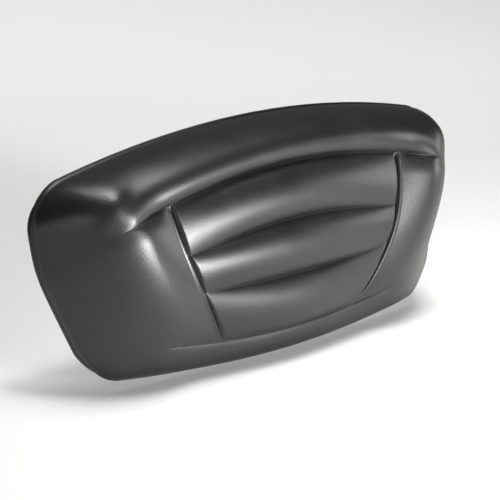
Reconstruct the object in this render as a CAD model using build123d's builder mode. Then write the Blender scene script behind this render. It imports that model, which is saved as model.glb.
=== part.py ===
"""Backrest pad for the lid of a motorbike top case, in millimetres.

X is the pad's width and +Z is up. The rider's side faces -Y. The back lies on the lid, which leans
away from the rider, and the origin is the middle of the fixing pattern on that seat. The pad is one
moulding of self-skinned foam: a head roll, three rolls between two slanting seams, two bolsters,
long side flanks and a bottom lip. A stiff plate in its back holds four threaded bushes.
"""

import os
from math import cos, radians, sin, sqrt

from build123d import *

os.makedirs("parts", exist_ok=True)

# The seat, and the pad's outline seen square on to it.
SEAT_LEAN = 13.7  # degrees that the lid's face leans back from upright
SEAT_RADIUS = 2000.0  # the lid's face is bowed a little from side to side
HALF_WIDTH = 192.5
TOP_HEIGHT = 73.5  # top edge on the middle line, above the origin
BOTTOM_DEPTH = 92.5  # bottom edge on the middle line, below the origin
TOP_BOW = 0.34 * TOP_HEIGHT  # how much lower the top edge is at the full half width
BOTTOM_BOW = 16.0  # how much higher the bottom edge is at the full half width
BOTTOM_CORNER_RISE = 11.0  # how much higher the bottom edge is at its corners
SIDE_BREAK = -2.0  # above this height the side edge is upright
SIDE_SLANT = 0.4  # how fast the side edge comes in below that height
TOP_CORNER_RADIUS = 0.42 * TOP_HEIGHT
BOTTOM_CORNER_RADIUS = 0.37 * BOTTOM_DEPTH
SIDE_BREAK_RADIUS = 1.22 * TOP_HEIGHT

# Heights of the moulding's crests above the seat.
RIM = 4.5
CROWN = 51.0  # over the head roll, the upper rolls and the tops of the bolsters
CROWN_LINE = 14.0  # below this line the crown falls away towards the lip
CROWN_FALL = 0.0025
LIP_HEIGHT = 12.0  # front edge of the bottom lip on the middle line
LIP_END_DROP = 5.0  # how much thinner the lip is by the bottom corners
LIP_DEPTH = 19.0  # from the lip's crease line down to its front edge
BODY_JOINT = 0.72  # where the crown's falling and level parts join, as a share of the way up
LIP_FADE = 40.0  # over this width the lip thins out to the rim at each end
NOSE_DEPTH = 26.0  # over this depth the head roll turns down to the top edge
NOSE_FULLNESS = 0.74  # how full that turn is, as a share of the height it starts from
HEAD_LINE_FALL = 0.008  # above HEAD_FALL_LINE the crown falls away towards the top edge
HEAD_FALL_LINE = 28.0

# The flanks, from the side edge in to the top of the bolster.
FLANK_WIDTH = 0.286 * HALF_WIDTH
FLANK_GROWTH = 0.19  # how much wider they get for each millimetre below FLANK_LINE
FLANK_LINE = 8.0
HEAD_FLANK_WIDTH = 0.229 * HALF_WIDTH  # beside the head roll

# Creases: height on the middle line, how much they drop at BOW_AT from it, and their depth.
BOW_AT = 0.54 * HALF_WIDTH
HEAD_LINE, HEAD_LINE_BOW, HEAD_CREASE_DEPTH = 0.537 * TOP_HEIGHT, 10.0, 11.5
MIDDLE_LINE, MIDDLE_LINE_BOW, MIDDLE_CREASE_DEPTH = 1.5, 11.7, 9.5
LOW_LINE, LOW_LINE_BOW, LOW_CREASE_DEPTH = -0.4 * BOTTOM_DEPTH, -4.8, 9.0
LIP_LINE, LIP_LINE_BOW, LIP_CREASE_DEPTH = -0.81 * BOTTOM_DEPTH, -8.5, 3.5
ROLL_SHOULDER = 16.0  # how far from a crease a roll is still rounding over
PINCH_START = 0.665 * HALF_WIDTH  # distance from the middle line where the head crease starts to run out
PINCH_END = 0.82 * HALF_WIDTH
LIP_CREASE_START = 0.21 * HALF_WIDTH
LIP_CREASE_END = 0.77 * HALF_WIDTH
LIP_SHOULDER = 7.0

# The two seams, as distances from the middle line.
SEAM_TOP = 0.556 * HALF_WIDTH
SEAM_TOP_LINE = 0.367 * TOP_HEIGHT
SEAM_BOTTOM_LINE = -0.778 * BOTTOM_DEPTH
SEAM_RUN_OUT = 16.0  # over this length at its bottom the seam rises out of the skin
SEAM_SLANT = 0.114
SEAM_CURVE = 0.00337
SEAM_DEPTH = 9.5
SEAM_ROLL_SHOULDER = 12.0
SEAM_BOLSTER_SHOULDER = 20.0
SEAM_SLOT_WIDTH = 1.4
SEAM_SLOT_DEPTH = 2.0

# Upright cuts of the lofted blank, as shares of the half width.
CUTS = (0, 0.35, 0.58, 0.7, 0.78, 0.86, 0.93, 1.0)
EDGE_SPARE = 3.0  # the blank stands this far outside the outline
BACK_SPARE = 30.0
CUTTER_HEIGHT = 14.0
SHOULDER_RISE = 0.12  # a crease's shoulders leave the crests by this share of its depth

# The stiff plate set in the back, its bosses and their threaded bushes.
PLATE_THICKNESS = 2.5
PLATE_INSET = 20.0  # from the pad's outline in to the plate's edge
CLEARANCE = 0.3
BUSH_SPACING_X = 2 * (HALF_WIDTH - 102.5)
BUSH_SPACING_Z = TOP_HEIGHT + BOTTOM_DEPTH - 2 * 43.0
BUSH_RADIUS = 4.5
BUSH_WAIST_RADIUS = 4.0
BUSH_WAIST_LOW, BUSH_WAIST_HIGH = 5.4, 7.4  # the waist between its two knurled bands
BUSH_LENGTH = 12.0
BUSH_BORE_RADIUS = 2.5  # tapping size of an M6 thread
COLLAR_RADIUS = 6.0
COLLAR_THICKNESS = 1.2
BOSS_RADIUS = 8.0
BOSS_FLOOR = 2.0  # the boss is closed by this much beyond the bush
SEAT_PAD_RADIUS = 12.0  # a flat round pad on the bowed back, at the middle of the fixing pattern
SEAT_PAD_HEIGHT = 0.1

seat = Plane(
    origin=(0, 0, 0),
    x_dir=(1, 0, 0),
    z_dir=(0, -cos(radians(SEAT_LEAN)), sin(radians(SEAT_LEAN))),
)
level_cut = Plane(origin=seat.origin, x_dir=seat.x_dir, z_dir=-seat.y_dir)


def ease(x):
    """Goes from 0 to 1 with no slope at either end."""
    x = min(max(x, 0.0), 1.0)
    return x * x * (3 - 2 * x)


def sag(u):
    """How far the bowed seat has dropped back at distance u from the middle line."""
    return u**2 / (2 * SEAT_RADIUS)


def bowed(line, bow, at, u):
    """Height of a bowed line at distance u from the middle line."""
    return line - bow * (u / at) ** 2


def side_edge(v):
    """Half width of the pad at height v."""
    below = SIDE_BREAK - v
    return HALF_WIDTH - SIDE_SLANT / 2 * (below + sqrt(below**2 + 15**2))


def seam(v):
    """Distance of the seam from the middle line at height v."""
    below = SEAM_TOP_LINE - v
    return SEAM_TOP - SEAM_SLANT * below - SEAM_CURVE * below * abs(below)


def crest(u, v):
    """Height of the pad's crests above the bowed seat, before the creases are cut."""
    low = FLANK_WIDTH + FLANK_GROWTH * (FLANK_LINE - v)
    width = low + (HEAD_FLANK_WIDTH - low) * ease((v - 2) / 22)
    inside = min(max((side_edge(v) - abs(u)) / width, 0.0), 1.0)
    full = 0.45 * (1 - (1 - inside) ** 2) + 0.55 * ease(inside)
    crown = CROWN - CROWN_FALL * max(CROWN_LINE - v, 0.0) ** 2 - HEAD_LINE_FALL * max(v - HEAD_FALL_LINE, 0.0) ** 2
    return RIM + (crown - RIM) * full


def upright_cut(u):
    """The blank's closed cut at distance u from the middle line."""
    top = bowed(TOP_HEIGHT, TOP_BOW, HALF_WIDTH, u)
    bottom = bowed(-BOTTOM_DEPTH, -BOTTOM_BOW, HALF_WIDTH, u)
    drop = sag(u)
    thinner = LIP_END_DROP * ease(abs(u) / HALF_WIDTH)
    lip_height = RIM + (LIP_HEIGHT - thinner - RIM) * ease((HALF_WIDTH - abs(u)) / LIP_FADE)
    low, high = bottom + LIP_DEPTH, top - NOSE_DEPTH
    joints = (low, low + BODY_JOINT * (high - low), high)
    heights = [crest(u, v) for v in joints]
    slopes = [(crest(u, v + 1) - crest(u, v - 1)) / 2 for v in joints]
    with BuildSketch(Plane(origin=(u, 0, 0), x_dir=seat.y_dir, z_dir=seat.x_dir)) as cut:
        with BuildLine():
            start = (bottom - EDGE_SPARE, lip_height / 2 - drop)
            end = (top + EDGE_SPARE / 2, -drop)
            Polyline(start, (start[0], -BACK_SPARE), (end[0], -BACK_SPARE), end)
            Bezier(
                start,
                (bottom + 1, 0.55 * lip_height + 0.45 * heights[0] - drop),
                (joints[0] - LIP_DEPTH / 3, heights[0] - LIP_DEPTH / 3 * slopes[0] - drop),
                (joints[0], heights[0] - drop),
            )
            for n in (0, 1):
                third = (joints[n + 1] - joints[n]) / 3
                Bezier(
                    (joints[n], heights[n] - drop),
                    (joints[n] + third, heights[n] + third * slopes[n] - drop),
                    (joints[n + 1] - third, heights[n + 1] - third * slopes[n + 1] - drop),
                    (joints[n + 1], heights[n + 1] - drop),
                )
            Bezier(
                (joints[2], heights[2] - drop),
                (joints[2] + NOSE_DEPTH / 3, heights[2] + NOSE_DEPTH / 3 * slopes[2] - drop),
                (top - 2, NOSE_FULLNESS * heights[2] - drop),
                end,
            )
        make_face()
    return cut.sketch


def blank():
    """The moulding's outside form before its outline and its creases are cut."""
    shares = [-share for share in reversed(CUTS[1:])] + list(CUTS)
    stations = [share * HALF_WIDTH for share in shares]
    end = HALF_WIDTH + EDGE_SPARE
    with BuildPart() as form:
        for u in [-end, *stations, end]:
            add(upright_cut(u))
        loft()
    return form.part


def outline(inset):
    """The pad's outline on the seat, or a smaller one that lies inset from it all round."""
    corner_line = -BOTTOM_DEPTH + BOTTOM_CORNER_RISE
    corner = HALF_WIDTH - SIDE_SLANT * (SIDE_BREAK - corner_line)
    shoulder_line = TOP_HEIGHT - TOP_BOW
    with BuildSketch(seat) as shape:
        with BuildLine():
            ThreePointArc((-HALF_WIDTH, shoulder_line), (0, TOP_HEIGHT), (HALF_WIDTH, shoulder_line))
            Polyline((HALF_WIDTH, shoulder_line), (HALF_WIDTH, SIDE_BREAK), (corner, corner_line))
            ThreePointArc((corner, corner_line), (0, -BOTTOM_DEPTH), (-corner, corner_line))
            Polyline((-corner, corner_line), (-HALF_WIDTH, SIDE_BREAK), (-HALF_WIDTH, shoulder_line))
        make_face()
        fillet(shape.vertices().group_by(Axis.Y)[1], SIDE_BREAK_RADIUS)
        fillet(shape.vertices().group_by(Axis.Y)[-1], TOP_CORNER_RADIUS)
        fillet(shape.vertices().group_by(Axis.Y)[0], BOTTOM_CORNER_RADIUS)
        if inset:
            offset(amount=-inset)
    return shape.sketch


def layer(low, high):
    """The space between two heights above the bowed seat, well beyond the pad on every side."""
    reach = HALF_WIDTH + 2 * EDGE_SPARE
    with BuildPart() as space:
        with BuildSketch(level_cut):
            with BuildLine():
                ThreePointArc((-reach, high - sag(reach)), (0, high), (reach, high - sag(reach)))
                Line((reach, high - sag(reach)), (reach, low - sag(reach)))
                ThreePointArc((reach, low - sag(reach)), (0, low), (-reach, low - sag(reach)))
                Line((-reach, low - sag(reach)), (-reach, high - sag(reach)))
            make_face()
        extrude(amount=BOTTOM_DEPTH + TOP_HEIGHT, both=True)
    return space.part


def crest_normal(u, v):
    """The direction square to the crests at a point of the seat."""
    rise_u = (crest(u + 1, v) - crest(u - 1, v)) / 2 - u / SEAT_RADIUS
    rise_v = (crest(u, v + 1) - crest(u, v - 1)) / 2
    return (seat.z_dir - seat.x_dir * rise_u - seat.y_dir * rise_v).normalized()


def crease_cutter(points, depth, left_shoulder, right_shoulder, slot=0.0):
    """A cutter that follows points and leaves a crease between two rounded forms.

    Each cut across it stands square to the crests there. Its two sides roll over from the crests
    into the crease. slot is the width of a narrow groove at the crease's bottom.
    """
    flare = SHOULDER_RISE * depth
    top = flare + CUTTER_HEIGHT
    places = [seat.from_local_coords(point) for point in points]
    with BuildPart() as cutter:
        for number, point in enumerate(points):
            along = (places[min(number + 1, len(places) - 1)] - places[max(number - 1, 0)]).normalized()
            square = crest_normal(point[0], point[1])
            square = (square - along * square.dot(along)).normalized()
            with BuildSketch(Plane(origin=places[number], x_dir=square.cross(along), z_dir=along)):
                with BuildLine():
                    for side, shoulder in ((-1, left_shoulder), (1, right_shoulder)):
                        Bezier(
                            (side * slot / 2, -depth),
                            (side * 0.3 * shoulder, -0.15 * depth),
                            (side * 0.7 * shoulder, 0),
                            (side * shoulder, flare),
                        )
                        Line((side * shoulder, flare), (side * (shoulder + CUTTER_HEIGHT), top))
                    Line((-left_shoulder - CUTTER_HEIGHT, top), (right_shoulder + CUTTER_HEIGHT, top))
                    if slot:
                        floor = -depth - SEAM_SLOT_DEPTH
                        Polyline((-slot / 2, -depth), (-slot / 2, floor), (slot / 2, floor), (slot / 2, -depth))
                make_face()
        loft()
    return cutter.part


def crest_point(u, v, lift=0.0):
    """A point on the crests, or lift above them, in the seat's own axes."""
    return (u, v, crest(u, v) - sag(u) + lift)


def head_crease():
    """The deep crease under the head roll, which runs out at a pinch on each shoulder."""
    points = []
    for step in range(-6, 7):
        u = step / 6 * PINCH_END
        lift = (HEAD_CREASE_DEPTH + 1) * ease((abs(u) - PINCH_START) / (PINCH_END - PINCH_START))
        points.append(crest_point(u, bowed(HEAD_LINE, HEAD_LINE_BOW, BOW_AT, u), lift))
    return crease_cutter(points, HEAD_CREASE_DEPTH, ROLL_SHOULDER, ROLL_SHOULDER)


def roll_crease(line, bow, depth):
    """A crease between two of the middle rolls, from seam to seam."""
    end = seam(bowed(line, bow, BOW_AT, seam(line)))
    points = [crest_point(step / 3 * end, bowed(line, bow, BOW_AT, step / 3 * end)) for step in range(-3, 4)]
    return crease_cutter(points, depth, ROLL_SHOULDER, ROLL_SHOULDER)


def seam_crease():
    """The right seam, from the head crease down to the lip, where it runs out."""
    points = []
    for step in range(7):
        v = SEAM_BOTTOM_LINE + step / 6 * (SEAM_TOP_LINE - SEAM_BOTTOM_LINE)
        lift = (SEAM_DEPTH + SEAM_SLOT_DEPTH + 1) * ease((SEAM_BOTTOM_LINE + SEAM_RUN_OUT - v) / SEAM_RUN_OUT)
        points.append(crest_point(seam(v), v, lift))
    return crease_cutter(points, SEAM_DEPTH, SEAM_BOLSTER_SHOULDER, SEAM_ROLL_SHOULDER, SEAM_SLOT_WIDTH)


def lip_crease():
    """The right half of the soft crease above the lip, which runs out at both its ends."""
    points = []
    for step in range(7):
        share = step / 6
        u = LIP_CREASE_START + share * (LIP_CREASE_END - LIP_CREASE_START)
        lift = (LIP_CREASE_DEPTH + 1) * (1 - ease(min(share, 1 - share) * 4))
        points.append(crest_point(u, bowed(LIP_LINE, LIP_LINE_BOW, BOW_AT, u), lift))
    return crease_cutter(points, LIP_CREASE_DEPTH, LIP_SHOULDER, LIP_SHOULDER)


def crease_cutters():
    """Every crease and seam of the moulding, left and right."""
    cutters = [
        head_crease(),
        roll_crease(MIDDLE_LINE, MIDDLE_LINE_BOW, MIDDLE_CREASE_DEPTH),
        roll_crease(LOW_LINE, LOW_LINE_BOW, LOW_CREASE_DEPTH),
    ]
    for cutter in (seam_crease(), lip_crease()):
        cutters += [cutter, mirror(cutter, about=Plane.YZ)]
    return cutters


def bush_planes():
    """Where each bush sits: its back end on the seat, its axis square to it."""
    planes = []
    for side_v in (1, -1):
        for side_u in (-1, 1):
            u = side_u * BUSH_SPACING_X / 2
            back_end = seat.from_local_coords((u, side_v * BUSH_SPACING_Z / 2, -sag(u)))
            planes.append(Plane(origin=back_end, x_dir=seat.x_dir, z_dir=seat.z_dir))
    return planes


def plate_form(inset, thickness):
    """The backing plate's form: inset from the pad's outline, and bowed as the seat is."""
    with BuildPart() as form:
        extrude(outline(inset), amount=CROWN, both=True)
        add(layer(0, thickness), mode=Mode.INTERSECT)
    return form.part


boss_length = BUSH_LENGTH + BOSS_FLOOR

with BuildPart() as pad_moulding:
    add(blank())
    extrude(outline(0), amount=2 * CROWN, both=True, mode=Mode.INTERSECT)
    add(layer(-2 * BACK_SPARE, 0), mode=Mode.SUBTRACT)
    add(crease_cutters(), mode=Mode.SUBTRACT)
    add(plate_form(PLATE_INSET - CLEARANCE, PLATE_THICKNESS + CLEARANCE), mode=Mode.SUBTRACT)
    with BuildSketch(*bush_planes()):
        Circle(BOSS_RADIUS + CLEARANCE)
    extrude(amount=boss_length + CLEARANCE, mode=Mode.SUBTRACT)
pad_moulding.part.label = "pad_moulding"
export_step(pad_moulding.part, "parts/pad_moulding.step")

with BuildPart() as backing_plate:
    add(plate_form(PLATE_INSET, PLATE_THICKNESS))
    with BuildSketch(seat):
        Circle(SEAT_PAD_RADIUS)
    extrude(amount=SEAT_PAD_HEIGHT, both=True)
    with BuildSketch(*bush_planes()):
        Circle(BOSS_RADIUS)
    extrude(amount=boss_length)
    with BuildSketch(*bush_planes()):
        Circle(COLLAR_RADIUS)
    extrude(amount=COLLAR_THICKNESS, both=True, mode=Mode.SUBTRACT)
    with BuildSketch(*bush_planes()):
        Circle(BUSH_RADIUS)
    extrude(amount=BUSH_LENGTH, both=True, mode=Mode.SUBTRACT)
backing_plate.part.label = "backing_plate"
export_step(backing_plate.part, "parts/backing_plate.step")

for number, place in enumerate(bush_planes(), start=1):
    with BuildPart() as bush:
        with BuildSketch(Plane(origin=place.origin, x_dir=place.x_dir, z_dir=-place.y_dir)):
            with BuildLine():
                Polyline(
                    (BUSH_BORE_RADIUS, 0),
                    (COLLAR_RADIUS, 0),
                    (COLLAR_RADIUS, COLLAR_THICKNESS),
                    (BUSH_RADIUS, COLLAR_THICKNESS),
                    (BUSH_RADIUS, BUSH_WAIST_LOW),
                    (BUSH_WAIST_RADIUS, BUSH_WAIST_LOW),
                    (BUSH_WAIST_RADIUS, BUSH_WAIST_HIGH),
                    (BUSH_RADIUS, BUSH_WAIST_HIGH),
                    (BUSH_RADIUS, BUSH_LENGTH),
                    (BUSH_BORE_RADIUS, BUSH_LENGTH),
                    close=True,
                )
            make_face()
        revolve(axis=Axis(place.origin, place.z_dir))
    bush.part.label = f"threaded_bush_{number}"
    export_step(bush.part, f"parts/threaded_bush_{number}.step")
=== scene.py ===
import math

import bpy
import numpy as np
from mathutils import Matrix, Vector


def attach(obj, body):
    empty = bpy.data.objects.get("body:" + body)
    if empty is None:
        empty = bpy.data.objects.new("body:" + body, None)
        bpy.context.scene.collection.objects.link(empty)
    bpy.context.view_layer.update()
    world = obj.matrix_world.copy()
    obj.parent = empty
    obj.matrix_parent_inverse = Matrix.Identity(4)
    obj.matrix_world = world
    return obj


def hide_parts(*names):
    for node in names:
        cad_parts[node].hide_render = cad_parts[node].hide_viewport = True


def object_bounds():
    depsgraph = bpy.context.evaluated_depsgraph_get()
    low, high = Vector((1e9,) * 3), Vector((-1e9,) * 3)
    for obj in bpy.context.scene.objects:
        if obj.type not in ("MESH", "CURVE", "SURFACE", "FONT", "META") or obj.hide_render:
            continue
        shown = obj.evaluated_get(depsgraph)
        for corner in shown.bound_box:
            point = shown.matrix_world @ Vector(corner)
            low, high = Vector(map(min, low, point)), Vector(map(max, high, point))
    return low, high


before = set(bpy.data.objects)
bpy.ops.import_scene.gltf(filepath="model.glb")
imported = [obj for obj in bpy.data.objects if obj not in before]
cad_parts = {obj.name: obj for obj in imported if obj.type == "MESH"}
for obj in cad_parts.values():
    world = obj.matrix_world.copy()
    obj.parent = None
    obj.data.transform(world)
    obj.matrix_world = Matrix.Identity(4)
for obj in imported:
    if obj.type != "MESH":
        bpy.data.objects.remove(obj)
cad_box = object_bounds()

# The moulding: one piece of self-skinned polyurethane foam, foamed in a closed mould round its
# stiff back plate. The skin is smooth and dense, the foam under it firm, so its rolls and bolsters
# keep their moulded form, and the seams are narrow moulded grooves with a raised lip.
SEAT_LEAN = math.radians(13.7)  # the lid's face leans back from upright
SEAT_RADIUS = 2000.0  # and is bowed from side to side; every size of the pad is in millimetres
HALF_WIDTH = round(1000 * cad_box[1].x, 1)  # as the solids have it
TOP_HEIGHT = 73.5  # top edge on the middle line, above the origin
TOP_EDGE_FALL = 0.000675  # each line's fall or rise goes with the square of the distance from the middle
BOTTOM_DEPTH = 92.5  # bottom edge on the middle line, below the origin
BOTTOM_EDGE_RISE = 0.000424
EDGE_ROUND = 1.3  # how far the rim's rounded edge stands out beyond the front
RIM = 4.5  # thickness of the pad at its rim
SIDE_BREAK = -2.0  # above this height the side edge is upright
SIDE_SLANT = 0.4  # how fast the side edge comes in below that height
SIDE_BREAK_SOFTNESS = 15.0
TOP_CORNER = 25.0
BOTTOM_CORNER = 20.0

# Where the creases and seams run on the seat: u is the way across the pad, v the way up it.
HEAD_LINE, HEAD_LINE_FALL = 39.5, 0.000925  # crease under the head roll
MIDDLE_LINE, MIDDLE_LINE_FALL = 1.5, 0.00108
LOW_LINE, LOW_LINE_RISE = -37.0, 0.00045
ROLL_LINES_LEVEL_AT = 112.0  # middle and low crease, between the rolls, run level from about here
LIP_LINE, LIP_LINE_RISE, LIP_LINE_LEVEL_AT = -75.0, 0.0008, 132.0

SEAM_TOP_LINE, SEAM_TOP = 27.0, 107.0  # height of the seam's top end and its distance from the middle
SEAM_SLANT = 0.1144
SEAM_CURVE = 0.003369


def eased(x):
    """0 up to x = 0, 1 from x = 1, and the cubic 3x^2 - 2x^3 between."""
    x = np.clip(x, 0, 1)
    return x * x * (3 - 2 * x)


def side_edge(v):
    """Half width at height v: upright above the break and slanting in below it, joined by a hyperbola."""
    below = SIDE_BREAK - v
    return HALF_WIDTH - EDGE_ROUND - SIDE_SLANT / 2 * (below + np.sqrt(below**2 + SIDE_BREAK_SOFTNESS**2))


def seam_line(v):
    """Distance of the seam from the middle, less with the distance below its top and with its square."""
    below = SEAM_TOP_LINE - v
    return SEAM_TOP - SEAM_SLANT * below - SEAM_CURVE * below * np.abs(below)


def near_middle(u, limit):
    """The distance from the middle, levelling off at limit: |u| / (1 + (|u| / limit)^4)^(1/4)."""
    return limit / (1 + (limit / np.maximum(np.abs(u), 1e-6)) ** 4) ** 0.25


def feature_lines(u):
    """Heights at u of bottom edge, lip, low, middle and head creases, and top edge.

    Each is a parabola, but the lip's crease and the two between the rolls level off at their ends.
    """
    roll_u = near_middle(u, ROLL_LINES_LEVEL_AT)
    return (
        -BOTTOM_DEPTH + EDGE_ROUND + BOTTOM_EDGE_RISE * u**2,
        LIP_LINE + LIP_LINE_RISE * near_middle(u, LIP_LINE_LEVEL_AT) ** 2,
        LOW_LINE + LOW_LINE_RISE * roll_u**2,
        MIDDLE_LINE - MIDDLE_LINE_FALL * roll_u**2,
        HEAD_LINE - HEAD_LINE_FALL * u**2,
        TOP_HEIGHT - EDGE_ROUND - TOP_EDGE_FALL * u**2,
    )


CREST, CREST_LINE = 50.5, 14.0  # the bolsters' tops are level above CREST_LINE
CREST_FALL, CREST_POWER = 0.0036, 1.98
SEAM_FLOOR, SEAM_FLOOR_LINE = 41.8, -9.6
SEAM_FALL_ABOVE, SEAM_FALL_BELOW = 0.0027, 0.0048
FLANK_WIDTH, FLANK_GROWTH, FLANK_LINE = 55.0, 0.19, 8.0
HEAD_FLANK_WIDTH, HEAD_FLANK_FALL, HEAD_FLANK_LINE = 44.0, 0.1, 41.0
FLANK_CHANGE_LINE, FLANK_CHANGE_HEIGHT = 14.0, 30.0


def crest_height(v):
    """Top of the bolsters: level down to CREST_LINE, then falling with nearly the square of the distance."""
    return CREST - CREST_FALL * np.maximum(CREST_LINE - v, 0) ** CREST_POWER


def seam_height(v):
    """Bottom of the seam: highest at its floor line and falling with the square of the distance from it."""
    above = v - SEAM_FLOOR_LINE
    return SEAM_FLOOR - np.where(above > 0, SEAM_FALL_ABOVE, SEAM_FALL_BELOW) * above**2


def flank_width(v):
    """Width of the side slope: it grows evenly downwards, and is narrower beside the head roll."""
    low = FLANK_WIDTH + FLANK_GROWTH * (FLANK_LINE - v)
    high = HEAD_FLANK_WIDTH - HEAD_FLANK_FALL * np.maximum(v - HEAD_FLANK_LINE, 0)
    return low + (high - low) * eased((v - FLANK_CHANGE_LINE) / FLANK_CHANGE_HEIGHT)


def rounded_up(near):
    """Share by which a form has rounded up out of a crease: a quarter circle over near = 0 to 1."""
    return np.sqrt(1 - (1 - np.clip(near, 0, 1)) ** 2)


def swell(share, height, power, lean=1.0):
    """A roll's bulge over its width: height times (4s(1-s))^power, with s = share^lean."""
    share = np.clip(share, 0, 1) ** lean
    return height * (4 * share * (1 - share)) ** power


HEAD_FLOOR = 38.5  # bottom of the head crease on the middle line
HEAD_FLOOR_RISE, HEAD_FLOOR_RISE_AT = 2.5, 150.0
PINCH_START, PINCH_WIDTH = 118.0, 38.0  # the head crease runs out over this part of each shoulder
LIP_CREASE_DEPTH, LIP_CREASE_GROWTH, LIP_CREASE_FULL_AT = 1.6, 1.8, 60.0
LIP_CREASE_END, LIP_CREASE_RUN_OUT = 85.0, 45.0
ROLL_FULLNESS = 0.75
MIDDLE_FLOOR, LOW_FLOOR = 41.5, 35.5  # bottoms of the two creases between the rolls
HIGH_BULGE, MIDDLE_BULGE, LOW_BULGE = 11.0, 10.5, 10.0
LOW_ROLL_LEAN = 0.85  # under 1, a roll is fullest below its middle
ROLL_END_FALL = 0.8  # share of its height that a roll has lost by the seam
ROLL_END_ROUND = 3.0
BOLSTER_POWER = 1.4
HEAD_SHOULDER = 15.0  # height over which a bolster rounds into the head crease
LIP_SHOULDER = 13.0


def pinch(across):
    """Share by which the head crease has run out in the shoulder: eased from 0 to 1."""
    return eased((across - PINCH_START) / PINCH_WIDTH)


def head_crease_floor(across, head):
    """Bottom of the head crease: rising with the square of the distance, then up to the bolsters' tops."""
    floor = HEAD_FLOOR + HEAD_FLOOR_RISE * (across / HEAD_FLOOR_RISE_AT) ** 2
    return floor + pinch(across) * (crest_height(head) - floor)


def lip_end(across):
    """Share by which the lip's crease has died out towards its ends: eased from 0 to 1."""
    return eased((across - LIP_CREASE_END) / LIP_CREASE_RUN_OUT)


def lip_crease_floor(across, lip):
    """Bottom of the lip's crease: the bolsters' height, less a depth that grows and then dies out."""
    depth = LIP_CREASE_DEPTH + LIP_CREASE_GROWTH * eased(across / LIP_CREASE_FULL_AT)
    return crest_height(lip) - depth * (1 - lip_end(across))


def roll(v, low_line, high_line, low_floor, high_floor, bulge, lean=1.0):
    """One roll between two creases: a straight line from floor to floor, and a swell upon it."""
    share = (v - low_line) / (high_line - low_line)
    chord = low_floor + (high_floor - low_floor) * np.clip(share, 0, 1)
    return chord + swell(share, bulge, ROLL_FULLNESS, lean)


def panel(across, v, lip, low, middle, head):
    """The three rolls between the seams.

    Their height above the seam's bottom falls with the square of the distance from the middle, and
    rounds down to nothing over the last few millimetres.
    """
    seam, floor = seam_line(v), seam_height(v)
    lip_floor = lip_crease_floor(across, lip)
    high_roll = roll(v, middle, head, MIDDLE_FLOOR, HEAD_FLOOR, HIGH_BULGE)
    middle_roll = roll(v, low, middle, LOW_FLOOR, MIDDLE_FLOOR, MIDDLE_BULGE)
    low_roll = roll(v, lip, low, lip_floor, LOW_FLOOR, LOW_BULGE, LOW_ROLL_LEAN)
    rolls = np.where(v > middle, high_roll, np.where(v > low, middle_roll, low_roll))
    fallen = 1 - ROLL_END_FALL * np.clip(across / seam, 0, 1) ** 2
    return floor + (rolls - floor) * (fallen * rounded_up((seam - across) / ROLL_END_ROUND))


def bolster(across, v, lip, head):
    """From the seam up to the bolster's ridge: 1 less a power of the share still to go.

    Next to the head crease and the lip's crease it rounds down into them.
    """
    seam, floor = seam_line(v), seam_height(v)
    ridge = np.clip((across - seam) / (side_edge(v) - flank_width(v) - seam), 0, 1)
    form = floor + (crest_height(v) - floor) * (1 - (1 - ridge) ** BOLSTER_POWER)
    shoulder = np.minimum(head_crease_floor(across, head), form)
    form = form - (form - shoulder) * (1 - rounded_up((head - v) / HEAD_SHOULDER))
    foot = np.minimum(lip_crease_floor(across, lip), form)
    return form - (1 - lip_end(across)) * (form - foot) * (1 - rounded_up((v - lip) / LIP_SHOULDER))


HEAD_BULGE, HEAD_BULGE_FALL = 9.5, 6.0  # the head roll's bulge, and how much less it is at its ends
HEAD_BULGE_START, HEAD_BULGE_WIDTH = 90.0, 80.0
HEAD_BULGE_POWER, HEAD_BULGE_LEAN = 0.7, 0.8
HEAD_TURN_POWER, HEAD_TURN_ROOT = 2.6, 0.62
FOLD_DEPTH, FOLD_WIDTH = 1.8, 10.0  # a soft fold leads up from each end of the head crease
FOLD_FOOT, FOLD_FOOT_LINE, FOLD_LEAN = 154.0, 16.0, 0.02
FOLD_START, FOLD_RUN_IN, FOLD_END, FOLD_RUN_OUT = 6.0, 16.0, 30.0, 34.0
LIP_NOSE, LIP_NOSE_FALL, LIP_NOSE_FALL_AT = 12.0, 5.0, 165.0  # front edge of the lip
LIP_POWER, LIP_POWER_FALL = 0.8, 0.35
LIP_BULGE, LIP_BULGE_POWER = 3.0, 0.6
FLANK_POWER = 2.3
FLANK_ROUND_SHARE = 0.75


def head_roll(across, v, head, top):
    """The head roll: its crease's height times (1 - s^power)^root over its width s, and a swell."""
    over = np.clip((v - head) / (top - head), 0, 1)
    less = HEAD_BULGE_FALL * eased((across - HEAD_BULGE_START) / HEAD_BULGE_WIDTH)
    bulge = (HEAD_BULGE - less) * (1 - pinch(across))
    floor = head_crease_floor(across, head)
    turn_down = (1 - over**HEAD_TURN_POWER) ** HEAD_TURN_ROOT
    return RIM + (floor - RIM) * turn_down + swell(over, bulge, HEAD_BULGE_POWER, HEAD_BULGE_LEAN)


def fold(across, v):
    """Depth of the shoulder's fold: a bell curve across a line that leans in as a parabola."""
    line = FOLD_FOOT - FOLD_LEAN * (v - FOLD_FOOT_LINE) ** 2
    part = eased((v - FOLD_START) / FOLD_RUN_IN) * (1 - eased((v - FOLD_END) / FOLD_RUN_OUT))
    return FOLD_DEPTH * part * np.exp(-(((across - line) / FOLD_WIDTH) ** 2))


def lip_roll(across, v, bottom, lip):
    """The lip below its crease: a power curve from nose to crease, flatter at the ends, and a swell."""
    ends = lip_end(across)
    nose = LIP_NOSE - LIP_NOSE_FALL * eased(across / LIP_NOSE_FALL_AT)
    share = np.clip((v - bottom) / (lip - bottom), 0, 1)
    rise = (lip_crease_floor(across, lip) - nose) * share ** (LIP_POWER - LIP_POWER_FALL * ends)
    return nose + rise + swell(share, LIP_BULGE * (1 - ends), LIP_BULGE_POWER)


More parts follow.
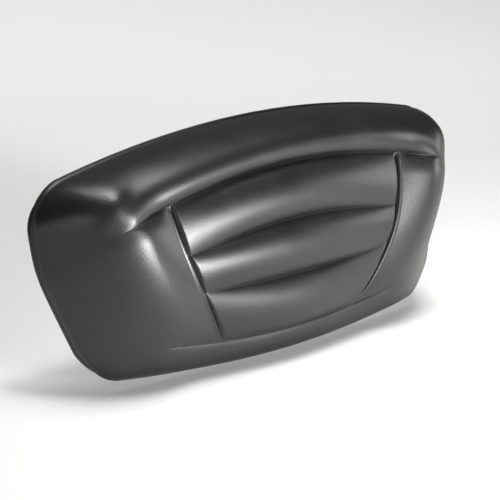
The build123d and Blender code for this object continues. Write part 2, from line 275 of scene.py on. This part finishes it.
def pad_height(u, v):
    """The skin's height above the seat: each part where it belongs, faded to the rim down the flanks.

    The flank rises to the ridge partly by a rounded curve, 1 less a power of the share still to go,
    and for the rest by an eased one.
    """
    across = np.abs(u)
    bottom, lip, low, middle, head, top = feature_lines(u)
    rolls = panel(across, v, lip, low, middle, head)
    form = np.where(across < seam_line(v), rolls, bolster(across, v, lip, head))
    form = np.where(v > head, head_roll(across, v, head, top), form)
    form = np.where(v < lip, lip_roll(across, v, bottom, lip), form - fold(across, v))
    slope = np.clip((side_edge(v) - across) / flank_width(v), 0, 1)
    rounded = 1 - (1 - slope) ** FLANK_POWER
    full = FLANK_ROUND_SHARE * rounded + (1 - FLANK_ROUND_SHARE) * eased(slope)
    return RIM + (form - RIM) * full


GROOVE_DEPTH, GROOVE_FLAT, GROOVE_WIDTH = 1.5, 0.5, 0.6
GROOVE_PLACE = -0.3  # outwards from the seam's line
SEAM_LIP_HEIGHT, SEAM_LIP_PLACE, SEAM_LIP_WIDTH = 0.9, 2.4, 1.1
SEAM_FOOT_GAP, SEAM_RUN_IN, SEAM_RUN_OUT = 1.0, 9.0, 6.0


def with_seams(height, u, v):
    """Cuts the seam's flat-bottomed groove and raises its lip: bell curves that ease in at both ends."""
    _, lip, _, _, head, _ = feature_lines(u)
    from_seam = np.abs(u) - seam_line(v)
    part = eased((v - lip - SEAM_FOOT_GAP) / SEAM_RUN_IN) * eased((head - v) / SEAM_RUN_OUT)
    from_groove = np.maximum(np.abs(from_seam - GROOVE_PLACE) - GROOVE_FLAT, 0)
    height = height - part * GROOVE_DEPTH * np.exp(-((from_groove / GROOVE_WIDTH) ** 2))
    return height + part * SEAM_LIP_HEIGHT * np.exp(-(((from_seam - SEAM_LIP_PLACE) / SEAM_LIP_WIDTH) ** 2))


INNER_COLUMNS = 66  # from the middle line to the seam
OUTER_COLUMNS = 74  # from the seam to the side edge
INNER_CROWDING, OUTER_CROWDING = 1.36, 1.3  # powers that draw the columns closer to the seam
BAND_ROWS = (20, 40, 44, 44, 50)  # from the bottom edge up to the top edge, crease by crease
EVEN_SHARE = 0.35
FIRST_DISTANCE = 100.0  # from the middle, where every column starts out before the rounds settle it
ROUNDS = 12


def spread(rows):
    """Shares from 0 to 1, closer together at both ends: partly even and partly half a cosine wave."""
    even = np.arange(rows) / rows
    return EVEN_SHARE * even + (1 - EVEN_SHARE) * (1 - np.cos(np.pi * even)) / 2


def pad_grid():
    """Points (u, v) whose rows follow the creases and whose columns follow the seams.

    Each row is a share between two crease lines and each column a share between middle, seam and
    side edge. As each depends on the other, the two are worked out in turn until they settle.
    """
    inner = (np.arange(INNER_COLUMNS + 1) / INNER_COLUMNS) ** INNER_CROWDING
    outer = (np.arange(1, OUTER_COLUMNS + 1) / OUTER_COLUMNS) ** OUTER_CROWDING
    half = np.concatenate([-inner[::-1][1:], outer])  # -1 is the middle, 0 the seam and 1 the edge
    column = np.concatenate([half[::-1], [-1], half])
    sign = np.concatenate([-np.ones(len(half)), [1], np.ones(len(half))])
    band = np.concatenate([n + spread(rows) for n, rows in enumerate(BAND_ROWS)] + [[len(BAND_ROWS)]])
    across, up = np.meshgrid(column, band)
    number = np.minimum(up.astype(int), len(BAND_ROWS) - 1)
    share = up - number
    u = np.full_like(across, FIRST_DISTANCE)
    for _ in range(ROUNDS):
        lines = np.stack(feature_lines(u))
        low = np.take_along_axis(lines, number[None], 0)[0]
        high = np.take_along_axis(lines, number[None] + 1, 0)[0]
        v = low + (high - low) * share
        seam = seam_line(v)
        u = np.where(across < 0, seam * (1 + across), seam + (side_edge(v) - seam) * across)
    return u * sign, v


def rounded_corners(u, v):
    """Draws the grid's four corners in, as a square is drawn into a circle.

    Near a corner the distances p, q from the corner zone's inner lines, as shares of its size,
    become p sqrt(1 - q^2 / 2) and q sqrt(1 - p^2 / 2), which turns the square's edge into an arc.
    """
    bottom, *_, top = feature_lines(u)
    for size, edge, way in ((TOP_CORNER, top, 1), (BOTTOM_CORNER, bottom, -1)):
        p = np.clip(1 - (side_edge(v) - np.abs(u)) / size, 0, 1)
        q = np.clip(1 - way * (edge - v) / size, 0, 1)
        u = u - np.sign(u) * size * p * (1 - np.sqrt(1 - q**2 / 2))
        v = v - way * size * q * (1 - np.sqrt(1 - p**2 / 2))
    return u, v


def on_seat(u, v, w):
    """Row-frame metres of a point u across, v up and w out from the leaning, bowed seat."""
    w = w - u**2 / (2 * SEAT_RADIUS)
    y = v * math.sin(SEAT_LEAN) - w * math.cos(SEAT_LEAN)
    z = v * math.cos(SEAT_LEAN) + w * math.sin(SEAT_LEAN)
    return np.stack([u, y, z], -1) / 1000


def loop_outwards(u, v):
    """Unit directions square to a closed anticlockwise loop, pointing out of it."""
    du = np.roll(u, -1) - np.roll(u, 1)
    dv = np.roll(v, -1) - np.roll(v, 1)
    size = np.hypot(du, dv)
    return dv / size, -du / size


grid_u, grid_v = pad_grid()
height = with_seams(pad_height(grid_u, grid_v), grid_u, grid_v)
rows, columns = grid_u.shape
grid_u, grid_v = rounded_corners(grid_u, grid_v)
points = [on_seat(grid_u, grid_v, height).reshape(-1, 3)]
index = np.arange(rows * columns).reshape(rows, columns)
front = np.stack([index[:-1, :-1], index[:-1, 1:], index[1:, 1:], index[1:, :-1]], -1).reshape(-1, 4)

# Round the rim, over the back and up the pocket's wall: rings, each at a distance out from the
# front's edge and a height above the seat.
POCKET_INSET = 19.7  # leaves the plate its clearance of 0.3
POCKET_DEPTH = 2.8
BACK_LAND = 8.0
RINGS = (
    (0.45, RIM - 0.12),
    (0.85, RIM - 0.45),
    (1.15, RIM - 1.0),
    (EDGE_ROUND, RIM - 1.7),
    (EDGE_ROUND, 0.7),
    (1.1, 0.2),
    (0.7, 0.0),
    (-BACK_LAND, 0.0),
    (EDGE_ROUND - POCKET_INSET, 0.0),
    (EDGE_ROUND - POCKET_INSET, POCKET_DEPTH),
)
ring = np.concatenate([index[0, :-1], index[:-1, -1], index[-1, :0:-1], index[:0:-1, 0]])
edge_u, edge_v = grid_u.ravel()[ring], grid_v.ravel()[ring]
out_u, out_v = loop_outwards(edge_u, edge_v)
side_faces = []
for number, (outwards, w) in enumerate(RINGS):
    points.append(on_seat(edge_u + out_u * outwards, edge_v + out_v * outwards, np.full(len(ring), w)))
    next_ring = rows * columns + number * len(ring) + np.arange(len(ring))
    side_faces.append(np.stack([ring, next_ring, np.roll(next_ring, -1), np.roll(ring, -1)], -1))
    ring = next_ring

# The pocket's floor is bowed only from side to side, so strips from bottom to top lie in it.
right_foot = columns - 1
right_top = right_foot + rows - 1
left_top = right_top + columns - 1
bottom_row = ring[:columns]
top_row = ring[right_top : left_top + 1][::-1]
pocket_floor = np.stack([bottom_row[:-1], top_row[:-1], top_row[1:], bottom_row[1:]], -1)
right_end = ring[right_foot : right_top + 1]
left_end = np.concatenate([ring[left_top:], ring[:1]])
faces = np.concatenate([front, *side_faces, pocket_floor]).tolist()
faces += [right_end[::-1].tolist(), left_end[::-1].tolist()]

pad_mesh = bpy.data.meshes.new("pad_moulding_skin")
pad_mesh.from_pydata(np.concatenate(points).tolist(), [], faces)
pad_mesh.update()
pad_mesh.validate()
pad_mesh.polygons.foreach_set("use_smooth", np.ones(len(pad_mesh.polygons), bool))
pad = bpy.data.objects.new("pad_moulding_skin", pad_mesh)
bpy.context.scene.collection.objects.link(pad)


def linear(code):
    """An sRGB hex colour as the linear colour that a shader takes."""
    parts = [int(code[n : n + 2], 16) / 255 for n in (1, 3, 5)]
    return [c / 12.92 if c <= 0.04045 else ((c + 0.055) / 1.055) ** 2.4 for c in parts] + [1.0]


def node(material, kind, links=None, values=None, **properties):
    """Adds one shader node, sets its properties and the values of its inputs, and links its inputs."""
    new = material.node_tree.nodes.new(kind)
    for name, value in properties.items():
        setattr(new, name, value)
    for name, value in (values or {}).items():
        new.inputs[name].default_value = value
    for name, (source, output) in (links or {}).items():
        material.node_tree.links.new(source.outputs[output], new.inputs[name])
    return new


def bare_material(name):
    """A new material with one node in it, which reads where a point is on the object."""
    material = bpy.data.materials.new(name)
    material.use_nodes = True
    material.node_tree.nodes.clear()
    return material, node(material, "ShaderNodeTexCoord")


# Self-skinned polyurethane foam, moulded satin black: the mould's fine leather grain breaks up its
# gloss into a soft sheen, and small uneven patches of release agent leave it a little patchy.
GRAIN_SCALE = 620.0  # cells of the leather grain to a metre, as in each pattern below
PORE_SCALE = 900.0  # coarser than the real skin's pores, which wouldn't show
PATCH_SCALE = 26.0
skin, place = bare_material("self_skinned_foam_satin_black")
grain = node(
    skin,
    "ShaderNodeTexVoronoi",
    {"Vector": (place, "Object")},
    {"Scale": GRAIN_SCALE},
    feature="DISTANCE_TO_EDGE",
)
patches = node(
    skin,
    "ShaderNodeTexNoise",
    {"Vector": (place, "Object")},
    {"Scale": PATCH_SCALE, "Detail": 3.0, "Roughness": 0.55},
)
pores = node(
    skin, "ShaderNodeTexNoise", {"Vector": (place, "Object")}, {"Scale": PORE_SCALE, "Detail": 2.0}
)
tone = node(skin, "ShaderNodeMapRange", {"Value": (patches, "Fac")}, {"From Min": 0.3, "From Max": 0.7})
colour = node(
    skin,
    "ShaderNodeMix",
    {"Factor": (tone, "Result")},
    {6: linear("#0d0c0c"), 7: linear("#121111")},
    data_type="RGBA",
)
gloss = node(
    skin,
    "ShaderNodeMapRange",
    {"Value": (patches, "Fac")},
    {"From Min": 0.3, "From Max": 0.7, "To Min": 0.35, "To Max": 0.43},
)
grain_bump = node(
    skin, "ShaderNodeBump", {"Height": (grain, "Distance")}, {"Strength": 0.25, "Distance": 0.0004}
)
pore_bump = node(
    skin,
    "ShaderNodeBump",
    {"Height": (pores, "Fac"), "Normal": (grain_bump, "Normal")},
    {"Strength": 0.15, "Distance": 0.0002},
)
surface = node(
    skin,
    "ShaderNodeBsdfPrincipled",
    {"Base Color": (colour, 2), "Roughness": (gloss, "Result"), "Normal": (pore_bump, "Normal")},
    {"IOR": 1.5},
)
node(skin, "ShaderNodeOutputMaterial", {"Surface": (surface, "BSDF")})
pad_mesh.materials.append(skin)
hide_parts("pad_moulding")
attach(pad, "root")

# The backing plate: a stiff black plastic plate with four bosses, laid in the mould before the
# foam, which bonds to it. Its back is flush with the foam and lies on the lid.
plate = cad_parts["backing_plate"]

# ABS, moulded against a spark-eroded tool: the tool's fine pits make it matt, and it is a little
# greyer than the foam.
PIT_SCALE = 1100.0  # coarser than the real pits, which wouldn't show
MOTTLE_SCALE = 40.0
plate_plastic, place = bare_material("moulded_abs_matte_black")
pits = node(
    plate_plastic,
    "ShaderNodeTexNoise",
    {"Vector": (place, "Object")},
    {"Scale": PIT_SCALE, "Detail": 2.0},
)
mottle = node(
    plate_plastic,
    "ShaderNodeTexNoise",
    {"Vector": (place, "Object")},
    {"Scale": MOTTLE_SCALE, "Detail": 4.0},
)
colour = node(
    plate_plastic,
    "ShaderNodeMix",
    {"Factor": (mottle, "Fac")},
    {6: linear("#1c1d1e"), 7: linear("#26272a")},
    data_type="RGBA",
)
gloss = node(
    plate_plastic, "ShaderNodeMapRange", {"Value": (mottle, "Fac")}, {"To Min": 0.5, "To Max": 0.66}
)
pit_bump = node(
    plate_plastic, "ShaderNodeBump", {"Height": (pits, "Fac")}, {"Strength": 0.3, "Distance": 0.0002}
)
surface = node(
    plate_plastic,
    "ShaderNodeBsdfPrincipled",
    {"Base Color": (colour, 2), "Roughness": (gloss, "Result"), "Normal": (pit_bump, "Normal")},
    {"IOR": 1.53},
)
node(plate_plastic, "ShaderNodeOutputMaterial", {"Surface": (surface, "BSDF")})
plate.data.materials.clear()
plate.data.materials.append(plate_plastic)

# The four threaded bushes: turned brass, pressed into the bosses from behind, so that only their
# collars show. Screws through the lid run into them.
bushes = [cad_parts[f"threaded_bush_{number}"] for number in range(1, 5)]

# Brass, cut bright on the lathe: it has dulled a little since, in small darker specks.
SPECK_SCALE = 320.0
brass, place = bare_material("turned_brass_dulled")
tarnish = node(
    brass, "ShaderNodeTexNoise", {"Vector": (place, "Object")}, {"Scale": SPECK_SCALE, "Detail": 4.0}
)
colour = node(
    brass,
    "ShaderNodeMix",
    {"Factor": (tarnish, "Fac")},
    {6: linear("#b8934f"), 7: linear("#8f6f3a")},
    data_type="RGBA",
)
gloss = node(brass, "ShaderNodeMapRange", {"Value": (tarnish, "Fac")}, {"To Min": 0.24, "To Max": 0.42})
speck_bump = node(
    brass, "ShaderNodeBump", {"Height": (tarnish, "Fac")}, {"Strength": 0.1, "Distance": 0.0001}
)
surface = node(
    brass,
    "ShaderNodeBsdfPrincipled",
    {"Base Color": (colour, 2), "Roughness": (gloss, "Result"), "Normal": (speck_bump, "Normal")},
    {"Metallic": 1.0},
)
node(brass, "ShaderNodeOutputMaterial", {"Surface": (surface, "BSDF")})
for bush in bushes:
    bush.data.materials.clear()
    bush.data.materials.append(brass)

# The floor: pale matt paper in a studio, laid flat under the pad and curving up into a wall behind
# it. Its sizes are in metres.
FLOOR_FRONT, FLOOR_BACK, FLOOR_HALF_WIDTH = -4.0, 2.0, 6.0
FLOOR_CURVE, WALL_HEIGHT = 1.2, 3.0
FLOOR_GAP = 0.0005  # so that the pad's lowest edge doesn't cut into the floor
FLOOR_ROWS = 60
FLAT_SHARE, CURVE_SHARE = 0.6, 0.25  # of the rows; the wall has the rest

run = np.linspace(0, 1, FLOOR_ROWS)
flat = np.clip(run / FLAT_SHARE, 0, 1)
bend = np.clip((run - FLAT_SHARE) / CURVE_SHARE, 0, 1) * np.pi / 2
wall = np.clip((run - FLAT_SHARE - CURVE_SHARE) / (1 - FLAT_SHARE - CURVE_SHARE), 0, 1)
depth = FLOOR_FRONT + flat * (FLOOR_BACK - FLOOR_FRONT) + FLOOR_CURVE * np.sin(bend)
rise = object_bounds()[0].z - FLOOR_GAP + FLOOR_CURVE * (1 - np.cos(bend)) + WALL_HEIGHT * wall
width = np.array([-FLOOR_HALF_WIDTH, FLOOR_HALF_WIDTH])
floor_points = np.stack(np.broadcast_arrays(width[None], depth[:, None], rise[:, None]), -1).reshape(-1, 3)
steps = 2 * np.arange(FLOOR_ROWS - 1)
floor_faces = np.stack([steps, steps + 1, steps + 3, steps + 2], -1)
floor_mesh = bpy.data.meshes.new("studio_floor")
floor_mesh.from_pydata(floor_points.tolist(), [], floor_faces.tolist())
floor_mesh.polygons.foreach_set("use_smooth", np.ones(len(floor_faces), bool))
studio_floor = bpy.data.objects.new("studio_floor", floor_mesh)
bpy.context.scene.collection.objects.link(studio_floor)

# Backdrop paper: rough and without gloss, with clouds in its tone too faint to catch the eye.
CLOUD_SCALE = 3.0
paper, place = bare_material("matt_backdrop_paper")
clouds = node(
    paper, "ShaderNodeTexNoise", {"Vector": (place, "Object")}, {"Scale": CLOUD_SCALE, "Detail": 2.0}
)
colour = node(
    paper,
    "ShaderNodeMix",
    {"Factor": (clouds, "Fac")},
    {6: linear("#dededc"), 7: linear("#e4e4e2")},
    data_type="RGBA",
)
surface = node(paper, "ShaderNodeBsdfPrincipled", {"Base Color": (colour, 2)}, {"Roughness": 0.9})
node(paper, "ShaderNodeOutputMaterial", {"Surface": (surface, "BSDF")})
floor_mesh.materials.append(paper)

# The lights: a soft light in front of the pad and a smaller one nearer to it, one at each side, and
# two overhead that face down and light the floor. A faint grey light comes from all round.
LIGHTS = (
    # name, direction from the pad, distance, width, height, watts, spread in degrees, faces down
    ("front_softbox", (0.15, -0.98, 0.09), 2.2, 0.4, 0.6, 32.0, 180, False),
    ("low_softbox", (0.17, -0.98, 0.01), 1.1, 0.24, 0.24, 24.0, 180, False),
    ("right_softbox", (0.93, -0.35, 0.06), 1.8, 0.6, 1.0, 12.0, 180, False),
    ("left_softbox", (-0.93, -0.35, 0.05), 2.2, 0.5, 0.8, 6.0, 180, False),
    ("floor_light", (0.18, 0.33, 1.00), 2.6, 2.0, 2.0, 13.0, 60, True),
    ("front_floor_light", (0.03, -0.26, 1.00), 1.6, 0.6, 0.6, 3.0, 40, True),
)
PAD_MIDDLE = Vector((0, -0.02, -0.005))
for name, way, far, wide, tall, power, spread_angle, faces_down in LIGHTS:
    light = bpy.data.lights.new(name, "AREA")
    light.shape = "RECTANGLE"
    light.size = wide
    light.size_y = tall
    light.energy = power
    light.spread = math.radians(spread_angle)
    lamp = bpy.data.objects.new(name, light)
    way = Vector(way).normalized()
    lamp.location = PAD_MIDDLE + way * far
    facing = Vector((0, 0, 1)) if faces_down else way
    lamp.rotation_euler = facing.to_track_quat("Z", "Y").to_euler()
    bpy.context.scene.collection.objects.link(lamp)

world = bpy.data.worlds.new("studio_air")
world.use_nodes = True
world.node_tree.nodes["Background"].inputs["Color"].default_value = linear("#c8ccd0")
world.node_tree.nodes["Background"].inputs["Strength"].default_value = 0.1
bpy.context.scene.world = world
bpy.context.scene.view_settings.view_transform = "Standard"  # keeps black foam black and its sheen crisp

# The camera stands where the photograph's did: in front of the pad, to the left as one faces it,
# and a little above it. It is turned and zoomed so that the pad fills the picture.
CAMERA_AZIMUTH = math.radians(-40.483)
CAMERA_ELEVATION = math.radians(20.109)
CAMERA_ROLL = math.radians(1.373)
FITTED_POINT = Vector((0, -40.489, 0))  # straight before the origin, a little under the skin
POINT_FROM_CAMERA = (149.34, 65.33, -1715.65)  # how far right, up and back of the photograph's camera
AIM = Vector((-0.026, -0.022, -0.012))
SENSOR, LENS = 36.0, 182.0  # the photograph's own field of view would be that of a 105 mm lens
right = Vector((math.cos(CAMERA_AZIMUTH), math.sin(CAMERA_AZIMUTH), 0))
back = Vector((math.sin(CAMERA_AZIMUTH), -math.cos(CAMERA_AZIMUTH), 0)) * math.cos(CAMERA_ELEVATION)
back.z = math.sin(CAMERA_ELEVATION)
up = back.cross(right)
rolled_right = right * math.cos(CAMERA_ROLL) + up * math.sin(CAMERA_ROLL)
rolled_up = up * math.cos(CAMERA_ROLL) - right * math.sin(CAMERA_ROLL)
to_right, to_top, to_back = POINT_FROM_CAMERA
stand = FITTED_POINT - (rolled_right * to_right + rolled_up * to_top + back * to_back)
stand = stand / 1000
away = (stand - AIM).normalized()
aimed_right = rolled_up.cross(away).normalized()
aimed_up = away.cross(aimed_right)
turn = Matrix((aimed_right, aimed_up, away)).transposed().to_4x4()
camera_data = bpy.data.cameras.new("camera")
camera_data.sensor_width = SENSOR
camera_data.lens = LENS
camera = bpy.data.objects.new("camera", camera_data)
camera.matrix_world = Matrix.Translation(stand) @ turn
bpy.context.scene.collection.objects.link(camera)
bpy.context.scene.camera = camera
